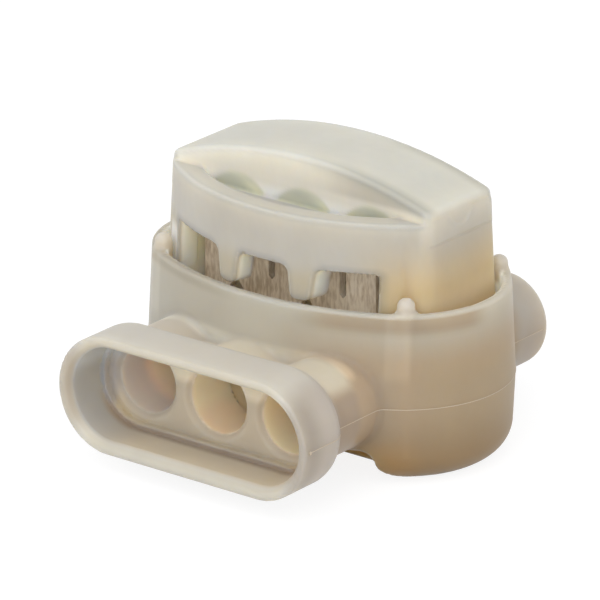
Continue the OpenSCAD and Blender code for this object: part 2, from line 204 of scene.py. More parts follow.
print("oval at its end and front:", oval_distance(END_CX + END_R, 0.0), oval_distance(0.0, HALF_D))


# %% The base as a distance
def base_outside(x, y, z):
    """Distance to the base before it is hollowed: tub, tubes with webs and nose, and collar, joined."""
    plan = oval_distance(x, y)
    draft = np.maximum((z - AXIS_Z) * DRAFT_UP, (AXIS_Z - z) * DRAFT_DOWN)
    tub = both(both(plan + draft, -z, BOTTOM_EDGE_R), z - BASE_H - RIM_EXTRA, RIM_R)
    web = np.maximum(np.abs(x) - PORTS[2], np.abs(z - AXIS_Z) - WEB_HALF)
    tubes = either(port_distance(x, z) - TUBE_R, web, 0.25)
    tubes = both(both(tubes, y - NOSE_Y, NOSE_R), -RECESS_Y - y, 0.1)
    collar = both(collar_distance(x, z), -MOUTH_Y - y, LIP_R)
    collar = both(collar, y + RECESS_Y - COLLAR_FLOOR, COLLAR_BACK_R)
    return either(either(tub, tubes, 0.35), collar, 0.25)


def mouth_hollow(x, y, z):
    """Distance to what the mouth loses: the recess with its ledge, and the bevel inside the lip."""
    inside = collar_distance(x, z) + LIP
    recess = np.minimum(
        np.maximum(inside, y + RECESS_Y + LEDGE_H), np.maximum(inside + LEDGE_W, y + RECESS_Y))
    slant = (inside - BEVEL_W + (y + MOUTH_Y) / BEVEL_SLOPE) * BEVEL_COS
    return np.minimum(recess, np.maximum(slant, y + MOUTH_Y - BEVEL_DEPTH))


def wire_hollow(x, y, z):
    """Distance to the wires' way: countersunk ports, grooves in the cradles, and tapering pockets."""
    ports = port_distance(x, z)
    flare = np.maximum((ports - PORT_R + y + RECESS_Y - FLARE) * math.sqrt(0.5), -RECESS_Y - FLARE - y)
    port = np.minimum(np.maximum(ports - PORT_R, y + PORT_END), flare)
    groove = np.maximum(ports - PORT_R - GROOVE_EASE, np.abs(y) - GROOVE_END)
    narrowing = POCKET_TAPER * (y - PORT_END) / (POCKET_END - PORT_END)
    pocket = np.maximum(np.maximum(ports - PORT_R + narrowing, PORT_END - y), y - POCKET_END)
    return np.minimum(np.minimum(port, groove), pocket)


def base_field(x, y, z):
    """Distance to the base: the outside, less the chamber, plus cradles and posts, less the
    mouth's recess, the wires' way and the hollow under the neck."""
    sill = np.maximum(np.maximum(np.abs(x) - SILL_X, y + SILL_Y), z - SILL_TOP)
    chamber = without(both(oval_distance(x, y) + BAY_INSET, FLOOR - z, 0.4), sill, 0.2)
    shell = without(base_outside(x, y, z), chamber, 0.15)
    bars = np.minimum(np.abs(y) - MIDDLE_HALF, np.abs(np.abs(y) - OUTER_Y) - OUTER_HALF)
    cradles = both(np.maximum(np.abs(x) - CRADLE_X, bars), z - CRADLE_TOP, 0.1)
    shell = either(shell, np.maximum(cradles, ROOT_Z - z), 0.15)
    posts = np.hypot(post_distance(x, y), np.maximum(z - POST_TOP + POST_R, 0)) - POST_R
    shell = either(shell, np.maximum(posts, ROOT_Z - z), 0.4)
    shell = without(shell, mouth_hollow(x, y, z), LIP_R)
    shell = without(shell, wire_hollow(x, y, z), 0.08)
    corner = np.hypot(np.maximum(HOLLOW_X - np.abs(x), 0), np.maximum(HOLLOW_R - z, 0))
    hollow = both(HOLLOW_R - corner, z - HOLLOW_TOP, 0.8)
    return without(shell, np.maximum(hollow, np.abs(y + HOLLOW_Y) - HOLLOW_HALF), 0.3)


print("base at its floor and outside:", float(base_field(3.0, 0.0, 0.8)), float(base_field(0.0, -20.0, 4.5)))

# %% [markdown]
# ## The press cap
# The cap is drafted and bowed at its front and back, with flat ends. A rib with a
# crowned top stands across it from end to end. In front of the rib and behind it lies
# a lower shelf with a shallow trough and a raised rim. Below, three wire windows with
# round-tipped teeth between them show the contact. Three vaults hollow out the rib
# from below, one over each port, as a moulder keeps thick plastic from sinking.

# %% Sizes of the cap
# The body with its bowed front and back, and the rib with its crown
CAP_TOP, CAP_LOW, CAP_X, CAP_Y, CAP_SIDE = 16.9, 8.4, 9.8, 7.0, 3.2
CAP_R = (CAP_X**2 + (CAP_Y - CAP_SIDE) ** 2) / (2 * (CAP_Y - CAP_SIDE))
CAP_CY = CAP_R - CAP_Y
CROWN_RISE, RIB_LOW = 1.7, 14.9
CROWN_Z = CAP_TOP + CROWN_RISE
CROWN_R = (CAP_X**2 + CROWN_RISE**2) / (2 * CROWN_RISE)

# The shelf with its trough, the bay inside, the vaults and the grooves' gap round the posts
SHELF, TROUGH, TROUGH_IN, TROUGH_SLOPE, TROUGH_COS = 16.3, 15.45, 1.8, 0.471, 0.905
CEILING, BAY_X, CAP_WALL = 14.45, 8.0, 1.4
VAULT_R, VAULT_Z, VAULT_HALF = 2.35, 13.75, 2.6
POST_GAP = 0.2

# The windows, whose ends shift left and taper above a height, as the photograph shows them
WINDOW_TOP, WINDOW_X, WINDOW_SHIFT, WINDOW_TAPER = 13.1, 7.85, 0.3, 0.4
SHIFT_LOW, SHIFT_HIGH, TAPER_LOW = 9.9, 10.4, 0.25

# The teeth between the windows, a little longer and further right in the photograph than in
# the solids, with round tips and flanks that lean out towards their roots
TOOTH_X, TOOTH_SHIFT, TOOTH_TIP, TOOTH_H, TOOTH_R = 2.75, 0.16, 11.0, 2.1, 0.45
TOOTH_HALF, TOOTH_LEAN, TOOTH_COS = 0.6, 0.3, 0.988
print("press_cap", box_in_mm("press_cap"))


# %% The cap as a distance
def window_field(x, z, taper):
    """The windows seen from the front: one wide opening, less two leaning teeth, narrowed by the
    taper. Low down, the ends keep the solid's place, so that the pressed cap clears the cradles."""
    seen = ease(z, SHIFT_LOW, SHIFT_HIGH)
    ends = np.abs(x + WINDOW_SHIFT * seen) - WINDOW_X + taper * (TAPER_LOW + (1 - TAPER_LOW) * seen)
    opening = both(ends, z - WINDOW_TOP, 0.2)
    half = TOOTH_HALF + TOOTH_LEAN * (z - TOOTH_TIP) / TOOTH_H + taper
    flank = (np.abs(np.abs(x - TOOTH_SHIFT) - TOOTH_X) - half) * TOOTH_COS
    return without(opening, both(flank, TOOTH_TIP - z, TOOTH_R), TOOTH_R)


def cap_outside(x, y, z):
    """Distance to the cap before it is hollowed: a drafted body with a trough in each shelf, and the
    crowned rib. The front right corner is rounder than the others, as in the photograph."""
    lean = (CAP_TOP - z) * DRAFT_UP
    bow = np.hypot(x, np.abs(y) + CAP_CY) - CAP_R
    ends = np.abs(x) - CAP_X - lean
    corner = np.where((x > 0) & (y < 0), 0.5, 0.15)
    body = both(both(both(bow - lean, ends, corner), z - SHELF, 0.18), CAP_LOW - z, 0.15)
    trough = both((bow + TROUGH_IN - (z - TROUGH) * TROUGH_SLOPE) * TROUGH_COS, TROUGH - z, 0.4)
    crown = np.hypot(x, z - CROWN_Z + CROWN_R) - CROWN_R
    rib = both(both(np.abs(y) - CAP_SIDE, ends, corner), crown, 0.3)
    return either(without(body, trough, 0.18), np.maximum(rib, RIB_LOW - z), 0.2)


def cap_field(x, y, z):
    """Distance to the cap: the outside, less the bay, the vaults, the windows and the post grooves."""
    lean = (CAP_TOP - z) * DRAFT_UP
    bow = np.hypot(x, np.abs(y) + CAP_CY) - CAP_R
    bay = both(both(bow - lean + CAP_WALL, np.abs(x) - BAY_X, 0.3), z - CEILING, 0.2)
    vault = both(np.hypot(port_gap(x), z - VAULT_Z) - VAULT_R, np.abs(y) - VAULT_HALF, 0.3)
    taper = WINDOW_TAPER * np.clip(lean - bow, 0, CAP_WALL) / CAP_WALL
    hollow = np.minimum(np.minimum(bay, vault), window_field(x, z, taper))
    body = without(cap_outside(x, y, z), hollow, 0.08)
    return without(body, post_distance(x, y) - POST_R - POST_GAP, 0.1)


print("cap in its skin and above:", float(cap_field(0.0, -4.5, 14.95)), float(cap_field(0.0, 0.0, 20.0)))

# %% [markdown]
# ## From a distance to a mesh
# A distance has no faces yet. The way used here is known as surface nets: the field is
# measured on a grid of points, each grid cell that the surface crosses gets one
# vertex at the mean of its crossings, and each crossed grid edge gets one face that
# joins the four cells round it. The mesh is closed by its nature. Then the vertices
# slide along the surface to even out, and step back on to it by the field's value
# over its slope. The normals are the slope of the field, so that even small radii
# shade as they should. A ball is tried first, because its radius tells at once
# whether the net is right.


# %% Grid points to vertices and faces
def crossings(a, b, start, step):
    """Mask and place of the surface on each grid edge: a straight line between values of unlike sign."""
    crossed = (a < 0) != (b < 0)
    share = np.where(crossed, a / np.where(crossed, a - b, 1), 0)
    return crossed, start + share * step


def surface_net(values, xs, ys, zs):
    """Vertices at the mean crossing of each crossed cell, and a face for each crossed grid edge,
    turned to face outwards."""
    cells = tuple(n - 1 for n in values.shape)
    total, count = np.zeros(cells + (3,)), np.zeros(cells)
    axes = (xs, ys, zs)
    masks = []
    for axis in range(3):
        a = np.take(values, range(values.shape[axis] - 1), axis)
        b = np.take(values, range(1, values.shape[axis]), axis)
        shape = [1, 1, 1]
        shape[axis] = -1
        starts, steps = axes[axis][:-1].reshape(shape), np.diff(axes[axis]).reshape(shape)
        crossed, place = crossings(a, b, starts, steps)
        masks.append((crossed, a < 0))
        u, v = [k for k in range(3) if k != axis]
        for du in (0, 1):
            for dv in (0, 1):
                part = [slice(None)] * 3
                part[u] = slice(du, du + cells[u])
                part[v] = slice(dv, dv + cells[v])
                here = crossed[tuple(part)]
                count += here
                total[..., axis] += here * place[tuple(part)]
                for k, shift in ((u, du), (v, dv)):
                    shape = [-1 if m == k else 1 for m in range(3)]
                    total[..., k] += here * axes[k][shift:shift + cells[k]].reshape(shape)
    used = count > 0
    index = np.full(cells, -1)
    index[used] = np.arange(used.sum())
    points = total[used] / count[used][:, None]
    faces = []
    for axis in range(3):
        crossed, inside_first = masks[axis]
        u, v = (axis + 1) % 3, (axis + 2) % 3
        part = [slice(None)] * 3
        part[u] = slice(1, crossed.shape[u] - 1)
        part[v] = slice(1, crossed.shape[v] - 1)
        where = np.argwhere(crossed[tuple(part)])
        where[:, u] += 1
        where[:, v] += 1
        out = inside_first[tuple(where.T)]
        quad = []
        for du, dv in ((-1, -1), (0, -1), (0, 0), (-1, 0)):
            at = where.copy()
            at[:, u] += du
            at[:, v] += dv
            quad.append(index[tuple(at.T)])
        quad = np.stack(quad, 1)
        faces.append(np.where(out[:, None], quad, quad[:, ::-1]))
    return points, np.concatenate(faces)


def ball_field(x, y, z):
    """Distance to a ball of radius 1: the distance from its centre, less the radius."""
    return np.sqrt(x**2 + y**2 + z**2) - 1


ticks = np.linspace(-1.3, 1.3, 14)
ball = ball_field(ticks[:, None, None], ticks[None, :, None], ticks[None, None, :])
ball_points, ball_faces = surface_net(ball, ticks, ticks, ticks)
print("ball:", len(ball_faces), "faces, furthest off", np.abs(ball_field(*ball_points.T)).max().round(4))


# %% Settling on the surface
def slope(field, points, reach=0.02):
    """Unit normals and the slope's size: the difference of the field a little way either side."""
    x, y, z = points.T
    grad = np.stack([
        field(x + reach, y, z) - field(x - reach, y, z),
        field(x, y + reach, z) - field(x, y - reach, z),
        field(x, y, z + reach) - field(x, y, z - reach)], 1) / (2 * reach)
    length = np.maximum(np.linalg.norm(grad, axis=1, keepdims=True), 1e-6)
    return grad / length, length[:, 0]


def settle(field, points, faces, rounds):
    """Each vertex moves halfway to the mean of its neighbours along the surface, then back on to
    it by value over slope, at most 0.08 mm at a time."""
    edges = np.concatenate([faces[:, [0, 1]], faces[:, [1, 2]], faces[:, [2, 3]], faces[:, [3, 0]]])
    edges = np.unique(np.sort(edges, 1), axis=0)
    first, second = edges.T
    n = len(points)
    degree = np.bincount(edges.ravel(), minlength=n)[:, None]
    for _ in range(rounds):
        mean = np.stack([
            np.bincount(first, points[second, k], n) + np.bincount(second, points[first, k], n)
            for k in range(3)], 1) / np.maximum(degree, 1)
        normal, _ = slope(field, points)
        move = (mean - points) * 0.5
        points = points + move - normal * (move * normal).sum(1, keepdims=True)
        for _ in range(2):
            normal, length = slope(field, points)
            step = np.clip(field(*points.T) / length, -0.08, 0.08)
            points = points - normal * step[:, None]
    return points


ball_points = settle(ball_field, ball_points, ball_faces, 2)
print("ball, settled: furthest off", np.abs(ball_field(*ball_points.T)).max().round(4))


# %% Faces to a named object
def show(obj):
    """Links an object to the scene and returns it."""
    bpy.context.scene.collection.objects.link(obj)
    return obj


def add_mesh(name, points, faces, normals):
    """A smooth-shaded object from whole arrays: points in millimetres, and a normal for each."""
    mesh = bpy.data.meshes.new(name)
    mesh.from_pydata((points * MM).tolist(), [], faces.tolist())
    mesh.polygons.foreach_set("use_smooth", np.ones(len(mesh.polygons), bool))
    mesh.normals_split_custom_set_from_vertices(normals.tolist())
    mesh.update()
    return show(bpy.data.objects.new(name, mesh))


def mould(name, field, xs, ys, zs):
    """A moulding from its distance: the field on the grid, its net, settled, with the field's own
    slope as normals."""
    values = field(xs[:, None, None], ys[None, :, None], zs[None, None, :])
    points, faces = surface_net(values, xs, ys, zs)
    points = settle(field, points, faces, 4)
    normals, _ = slope(field, points, 0.03)
    shown = add_mesh(name, points, faces, normals)
    off = round(float(np.abs(field(*points.T)).max()), 3)
    print(name, len(points), "vertices,", len(faces), "faces, furthest from its surface", off, "mm")
    return shown


def ruled(*stretches):
    """Grid lines over stretches (start, end, step) laid end to end, each divided evenly."""
    parts = [np.linspace(a, b, max(2, round((b - a) / step) + 1))[:-1] for a, b, step in stretches]
    return np.concatenate(parts + [[stretches[-1][1]]])


print("grid lines with a finer second half:", ruled((0.0, 1.0, 0.5), (1.0, 2.0, 0.25)))

# %% [markdown]
# ## Mesh the two mouldings
# The grid is finest where the eye rests: at the mouth's lip, the rim and the cap's top.
# The walls between are ruled straight lines, so wider cells lose nothing there.

# %% The base's mesh
coarse = 1.0
base_grid = (
    ruled((-12.81, 12.81, 0.215 * coarse)),
    ruled((-15.23, -10.0, 0.15 * coarse), (-10.0, 11.83, 0.225 * coarse)),
    ruled((-0.33, 2.4, 0.19 * coarse), (2.4, 10.35, 0.24 * coarse),
          (10.35, 11.05, 0.11 * coarse), (11.05, 12.33, 0.17 * coarse)),
)
base = mould("base_moulding", base_field, *base_grid)
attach(base, "base")
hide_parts("base_housing")

# %% The cap's mesh
cap_grid = (
    ruled((-10.71, 10.71, 0.17 * coarse)),
    ruled((-7.83, 7.83, 0.17 * coarse)),
    ruled((8.17, 12.8, 0.18 * coarse), (12.8, 18.93, 0.15 * coarse)),
)
cap = mould("cap_moulding", cap_field, *cap_grid)
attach(cap, "cap")
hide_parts("press_cap")

# %% [markdown]
# ## Parting line
# The two halves of the base's mould meet at the height of the ports. Plastic that
# creeps between them leaves a fine raised line along both sides of the moulding, and
# the gate through which it was filled leaves a small dot at the right of the collar.

# %% The line along the widest outline
LINE_R, LINE_POINTS = 0.025, 260
DOT_R, DOT_HALF, DOT_X, DOT_Y = 0.11, 0.06, 9.5, -14.4


def on_outline(points):
    """Points moved level on to the base's surface: the field's value over its level slope, at most
    0.3 mm at a time, taken off six times."""
    for _ in range(6):
        normal, length = slope(base_field, points)
        level = normal * (1, 1, 0)
        steep = np.maximum((level**2).sum(1, keepdims=True), 0.2)
        points = points - level * np.clip(base_field(*points.T) / length, -0.3, 0.3)[:, None] / steep
    return points


# A guide near the right outline: along the collar, round its back to the neck, round the tub's
# end arc and along the nose
turns = np.radians(np.linspace(-62, 62, 60))
guide = [(9.5, -14.55), (9.5, -11.3), (8.6, -10.5), (8.55, -8.0)]
guide += [(END_CX + END_R * math.cos(t), END_R * math.sin(t)) for t in turns]
guide += [(8.55, 8.0), (8.55, 10.6)]
guide = np.array(guide)
run = np.concatenate([[0], np.cumsum(np.hypot(*np.diff(guide, axis=0).T))])
along = np.linspace(0, run[-1], LINE_POINTS)
guide_x, guide_y = (np.interp(along, run, column) for column in guide.T)
outline = on_outline(np.column_stack([guide_x, guide_y, np.full(LINE_POINTS, AXIS_Z)]))
thread = bpy.data.curves.new("parting_line", "CURVE")
thread.dimensions = "3D"
thread.bevel_depth = LINE_R * MM
thread.bevel_resolution = 1
thread.use_fill_caps = True
for side in (-1, 1):
    spline = thread.splines.new("POLY")
    spline.points.add(LINE_POINTS - 1)
    rows = np.column_stack([outline * (side, 1, 1) * MM, np.ones(LINE_POINTS)])
    spline.points.foreach_set("co", rows.ravel())
dot = thread.splines.new("POLY")
dot.points.add(1)
for point, reach in zip(dot.points, (-DOT_HALF, DOT_HALF)):
    point.co = ((DOT_X + reach) * MM, DOT_Y * MM, AXIS_Z * MM, 1)
    point.radius = DOT_R / LINE_R
swept = show(bpy.data.objects.new("parting_line_path", thread))
line_mesh = bpy.data.meshes.new_from_object(swept.evaluated_get(bpy.context.evaluated_depsgraph_get()))
bpy.data.objects.remove(swept)
parting = show(bpy.data.objects.new("parting_line", line_mesh))
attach(parting, "base")
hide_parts("base_housing")
print("parting line:", len(line_mesh.vertices), "vertices,", round(float(run[-1]), 1), "mm a side")

# %% [markdown]
# ## Tones of milky plastic
# Natural polypropylene scatters light inside: thin walls glow and edges look soft.
# The tone isn't even on the real part. It is cool and greyish at the top and warmer
# low down, where the gel lies behind the wall, and darker there in painted shade. Many
# coats are painted light and shade: painted shade on sides, bottoms, hollows and edges,
# and painted light on tops, creases, ports and insides that would render too dark. The
# colour is worked out for each vertex from its place, as coats of paint laid over each
# other with soft borders, and kept as an attribute. Each coat is a red, green and blue
# with a share, and a share is a product of soft steps: ease(z, 6.4, 7.4) rises from 0
# at 6.4 mm to 1 at 7.4 mm.
# The depth that light travels inside is kept too, and is less in the narrow ports.


# %% Coats of paint on the vertices
def coat(rows, tone, share):
    """Rows of colour, moved towards one tone by each row's share."""
    return rows + (np.array(tone) - rows) * share[:, None]


def tint(rows, factor, share):
    """Rows of colour, multiplied by a factor as far as each row's share says."""
    return coat(rows, rows * factor, share)


def mottle(x, y, z):
    """Soft blotches from -1 to 1: sines of place whose phases are bent by other sines, in three sizes."""
    broad = np.sin(1.1 * x + 1.7 * np.sin(0.7 * y + 0.4 * z))
    broad = broad * np.sin(0.9 * y + 1.3 * np.sin(0.8 * x - 0.5 * z))
    middle = np.sin(2.9 * x + 2.1 * np.sin(2.3 * y + z))
    middle = middle * np.sin(2.6 * y - 1.9 * np.sin(2.2 * x + 1.4 * z))
    fine = np.sin(7.3 * x + 2.5 * np.sin(5.9 * y - 2 * z))
    fine = fine * np.sin(6.7 * y + 2.2 * np.sin(6.1 * x + z))
    return 0.5 * broad + 0.3 * middle + 0.2 * fine


def paint(obj, tone_of, depth_of):
    """Keeps the colour and the light's depth that the functions give for each vertex, from its
    place in millimetres, as the attributes 'tone' and 'depth'."""
    n = len(obj.data.vertices)
    flat = np.empty(n * 3)
    obj.data.vertices.foreach_get("co", flat)
    places = flat.reshape(n, 3) / MM
    rows = tone_of(*places.T)
    attribute = obj.data.color_attributes.new("tone", "FLOAT_COLOR", "POINT")
    attribute.data.foreach_set("color", np.column_stack([rows, np.ones(n)]).ravel())
    depth = obj.data.attributes.new("depth", "FLOAT", "POINT")
    depth.data.foreach_set("value", (depth_of(*places.T) * MM).astype(np.float32))
    print(obj.name, "tones from", rows.min(0).round(2), "to", rows.max(0).round(2))


print("half a coat of black on white:", coat(np.ones((1, 3)), (0, 0, 0), np.array([0.5])))


# %% Tones of the base
def outer_coats(x, y, z):
    """The tub, nose, neck and collar from outside."""
    wide = np.abs(x)
    rows = np.tile([0.48, 0.445, 0.37], (len(x), 1))
    # The tub: painted shade, warm tan to the right and below and brown at the bottom edge; duller at the
    # rim's left
    rows = coat(rows, (0.43, 0.325, 0.22), ease(x, -1.0, 8.0) * ease(z, 10.8, 7.6) * 0.9)
    rows = coat(rows, (0.435, 0.325, 0.205), ease(x, 8.0, 12.0) * ease(z, 9.6, 6.6) * 0.8)
    rows = coat(rows, (0.37, 0.335, 0.275), ease(z, 10.1, 10.6) * ease(x, 2.0, -6.0))
    rows = coat(rows, (0.27, 0.18, 0.09), ease(z, 5.6, 0.0))
    # Painted light: a paler band where a front post thickens the wall and shows through it
    post_light_band = ease(np.abs(wide - POST_X), 0.8, 0.5) * ease(z, 6.5, 7.5) * ease(y, -2.0, -3.0)
    rows = tint(rows, 1.13, post_light_band)
    # The nose, warmer below
    nose = ease(y, 7.5, 9.0)
    rows = coat(rows, (0.475, 0.43, 0.37), nose)
    rows = coat(rows, (0.45, 0.385, 0.315), nose * ease(z, 7.0, 5.0))
    # The neck: painted light on the tops of its tubes, duller on the left one, and painted shade below
    neck = ease(y, -7.8, -8.6)
    lit_crowns = neck * ease(z, 6.4, 7.4)
    rows = coat(rows, (0.61, 0.55, 0.44), lit_crowns)
    rows = coat(rows, (0.53, 0.475, 0.40), lit_crowns * ease(x, -2.4, -3.4))
    rows = coat(rows, (0.37, 0.30, 0.23), neck * ease(z, 7.4, 6.4))
    # The collar: cool, with painted shade at its ends but less at their back, and warmer at the lip
    collar = ease(y, -10.0, -11.0)
    shaded_collar_ends = collar * ease(wide, 7.0, 9.0)
    rows = coat(rows, (0.52, 0.495, 0.45), collar)
    rows = coat(rows, (0.34, 0.31, 0.28), shaded_collar_ends)
    rows = coat(rows, (0.46, 0.42, 0.38), ease(y, -14.2, -12.4) * shaded_collar_ends)
    return coat(rows, (0.50, 0.46, 0.39), ease(y, -14.5, -14.8) * ease(wide, 8.0, 7.0))


def recess_coats(rows, x, y, z):
    """The mouth's recess: painted shade, blue-grey at its left and brown low at its back, and painted
    light high on its floor, the face that the ports open into."""
    recess = ease(collar_distance(x, z), -LIP + 0.15, -LIP - 0.05)
    recess = recess * ease(y, -MOUTH_Y, -MOUTH_Y + 0.5) * ease(y, -10.9, -11.3)
    shaded_recess_left = recess * ease(x, -4.0, -8.5)
    recess_floor = recess * ease(y, -11.85, -11.7)
    rows = coat(rows, (0.50, 0.43, 0.34), recess)
    rows = coat(rows, (0.305, 0.33, 0.37), shaded_recess_left)
    rows = coat(rows, (0.32, 0.26, 0.205), recess * ease(y, -12.5, -12.0) * ease(z, 4.6, 2.4))
    rows = coat(rows, (0.51, 0.44, 0.34), recess_floor)
    rows = coat(rows, (0.80, 0.69, 0.53), recess_floor * ease(z, 5.5, 6.2) * ease(np.abs(x), 6.8, 5.6))
    rows = coat(rows, (0.35, 0.34, 0.345), recess_floor * ease(x, -7.4, -8.0))
    return coat(rows, (0.42, 0.45, 0.49), shaded_recess_left * ease(z, 5.6, 6.6))


def inner_coats(rows, x, y, z):
    """The ports and the chamber in painted light, pale because little light gets in, with painted
    warmth in the middle and right ports, painted shade low in the middle one and in the left one,
    and more painted light deep in the left one.
    """
    ports = ease(port_distance(x, z), PORT_R + 0.1, PORT_R + 0.02)
    ports = ports * ease(y, -11.2, -10.8) * ease(y, 11.0, 10.7)
    chamber = ease(oval_distance(x, y), -BAY_INSET + 0.2, -BAY_INSET)
    chamber = chamber * ease(z, 1.9, 2.3) * ease(y, -8.6, -8.0)
    left_port_painted_light = ports * ease(x, -2.6, -3.3)
    rows = coat(rows, (0.97, 0.90, 0.76), np.maximum(ports, chamber))
    rows = coat(rows, (1.0, 0.84, 0.62), ports * ease(x, -3.3, -2.6))
    rows = coat(rows, (1.0, 0.80, 0.60), ports * ease(x, 2.4, 3.1))
    rows = coat(rows, (0.90, 0.74, 0.54), ports * ease(np.abs(x), 2.6, 2.4) * ease(z, 4.4, 3.4))
    rows = coat(rows, (0.74, 0.67, 0.59), left_port_painted_light)
    return coat(rows, (1.0, 0.81, 0.67), left_port_painted_light * ease(y, -9.2, -8.0))


def base_tone_and_light(x, y, z):
    """The base's colour with its painted light and shade: outside, recess and inside, then the posts,
    painted brown shade on the hollow's back wall, painted shade on the wall under the right of the
    rim, painted light in the crease over the neck and painted warm light on the foot."""
    wide = np.abs(x)
    rows = inner_coats(recess_coats(outer_coats(x, y, z), x, y, z), x, y, z)
    posts = ease(post_distance(x, y), POST_R + 0.15, POST_R + 0.05) * ease(z, 10.2, 10.6)
    rows = coat(rows, (0.52, 0.46, 0.39), posts)
    # Painted shade, warm brown, on the set-back wall of the hollow under the neck
    shaded_back_wall = ease(y, -5.0, -4.5) * ease(y, -3.0, -3.1) * ease(z, 2.3, 2.2) * ease(z, 0.05, 0.15)
    rows = coat(rows, (0.64, 0.34, 0.09), shaded_back_wall * ease(wide, 8.6, 8.4))
    # Painted shade on the wall just under the right of the rim
    shade_below_rim = ease(z, 9.5, 10.2) * ease(z, 10.95, 10.8) * ease(x, 2.5, 6.0) * ease(y, 0.0, -2.0)
    rows = tint(rows, (0.76, 0.68, 0.62), shade_below_rim)
    # Painted light in the crease over the neck, which the scattering leaves too dark
    rows = tint(rows, 1.45, ease(np.hypot(y + 7.8, z - 7.75), 0.7, 0.2))
    # Painted warm light on the foot beside the hollow
    foot = np.sqrt((wide - 9.0) ** 2 + (y + 5.7) ** 2 + (z - 1.2) ** 2)
    rows = tint(rows, (1.14, 1.06, 0.88), ease(foot, 2.6, 0.3))
    return rows * (1 + 0.02 * mottle(x, y, z))[:, None]


def base_depth(x, y, z):
    """How far light travels inside the base, in millimetres: 4 in the open walls, 2 in the right
    port's bore and 1 in the others, which are lit only through the mouth."""
    bores = ease(port_distance(x, z), PORT_R + 0.3, PORT_R + 0.05)
    bores = bores * ease(y, -11.4, -11.1) * ease(y, 11.0, 10.7)
    return 4 - (3 - ease(x, 2.4, 3.1)) * bores


paint(base, base_tone_and_light, base_depth)

# %% Tones of the cap
# The vaults' shades, shifted from the vaults to where the photograph shows them through the plastic
SHADES, SHADE_Z = (-4.65, 0.4, 5.6), 14.25


def cap_edge_shade(x, y, z):
    """1 at a sharp convex edge or thin web, 0 where half a millimetre down the plastic is as deep
    as it looks."""
    points = np.column_stack([x, y, z])
    normal, _ = slope(cap_field, points, 0.03)
    under = points - 0.5 * normal
    return np.clip(cap_field(*under.T) / 0.5 + 1, 0, 1)


def cap_top_coats(rows, x, y, z):
    """The cap's rib and shelves: a pale rib, duller at its ends, painted shade on its edges and rims,
    painted light above the troughs, and a painted grey-green shade over each vault.
    """
    wide, deep = np.abs(x), np.abs(y)
    on_rib = ease(deep, 3.6, 3.2)
    # The rib, its end walls, painted shade on the right of its crown's edges, and painted light on its sides
    # above the troughs
    rib = ease(z, 15.0, 16.0) * ease(deep, 3.5, 3.2) * ease(wide, 9.75, 9.3)
    rows = coat(rows, (0.74, 0.695, 0.605), rib)
    rows = coat(rows, (0.60, 0.56, 0.48), ease(z, 13.5, 16.6) * ease(wide, 9.3, 9.75))
    crest_shade = ease(np.hypot(x, z - CROWN_Z + CROWN_R) - CROWN_R, -1.0, -0.1) * on_rib * ease(deep, 2.8, 3.0)
    rows = coat(rows, (0.50, 0.485, 0.435), crest_shade * ease(x, -3.0, 5.0))
    # Painted light on the rib's sides above the troughs, against the dark crease
    sides = ease(z, 16.5, 15.7) * on_rib * ease(z, 14.9, 15.3) * ease(wide, 9.6, 9.0)
    rows = coat(rows, (0.96, 0.90, 0.80), sides)
    # The painted shades of the vaults, lightened low down by painted light near the crease
    gap = np.abs(x[:, None] - SHADES).min(1)
    shade = ease(np.hypot(gap, z - SHADE_Z) - VAULT_R, 0.12, -0.25)
    shade = shade * ease(deep, 3.5, 3.3) * ease(deep, 2.8, 3.1)
    rows = coat(rows, (0.63, 0.615, 0.475), shade)
    rows = coat(rows, (0.82, 0.78, 0.55), shade * ease(z, 16.3, 15.6))
    # The crown's top, with painted shade along its right edges, then painted shade on the shelves' rims, all
    # lifted by painted light to the left
    top = ease(z, 16.5, 17.0)
    rows = coat(rows, (0.61, 0.595, 0.52), top * ease(deep, 3.25, 3.1))
    rows = tint(rows, 0.70, top * ease(deep, 2.0, 3.0) * ease(x, 0.0, 6.0))
    rows = coat(rows, (0.50, 0.48, 0.42), ease(z, 15.9, 16.2) * ease(deep, 3.3, 3.5))
    return tint(rows, 1.1, ease(x, -3.0, -7.0) * ease(z, 16.8, 16.2))


def cap_tone_and_light(x, y, z):
    """The cap's colour with its painted light and shade: its foot and top, painted shade and warmth
    towards the right end with painted light at its tan foot, painted shade on the edges, and painted
    light on the insides and on a groove at the left posts."""
    rows = np.tile([0.50, 0.475, 0.42], (len(x), 1))
    rows = coat(rows, (0.47, 0.42, 0.325), ease(z, 13.6, 12.2) * ease(x, 9.0, 7.5))
    rows = cap_top_coats(rows, x, y, z)
    # Painted shade and warmth towards the right end, then painted light at its foot against the shade of the
    # gap at the rim
    rows = coat(rows, (0.60, 0.46, 0.265), ease(z, 16.0, 11.5) * ease(x, 5.0, 9.0))
    rows = coat(rows, (0.68, 0.53, 0.32), ease(z, 12.2, 10.9) * ease(x, 7.5, 9.5))
    rows = rows * (1 + 0.03 * mottle(x, y, z))[:, None]
    # Painted shade on thin edges and webs, which glow too brightly in the scattering
    rows = tint(rows, (0.70, 0.72, 0.78), cap_edge_shade(x, y, z))
    # Painted light on the insides, which little light reaches, and more of it at the left
    bow = np.hypot(x, np.abs(y) + CAP_CY) - CAP_R - (CAP_TOP - z) * DRAFT_UP
    lit_insides = ease(bow, -0.12, -0.4) * ease(np.abs(x), BAY_X + 0.3, BAY_X + 0.2)
    lit_insides = lit_insides * ease(z, CEILING + 0.5, CEILING + 0.2)
    rows = coat(rows, (0.98, 0.84, 0.65), lit_insides)
    rows = coat(rows, (1.0, 0.86, 0.68), lit_insides * ease(x, -6.8, -7.4))
    # Painted light in the groove at the left posts
    groove = ease(post_distance(x, y), POST_R + 0.5, POST_R + 0.3)
    return coat(rows, (0.90, 0.85, 0.76), groove * ease(x, 0.0, -1.0) * ease(z, 13.0, 12.0))


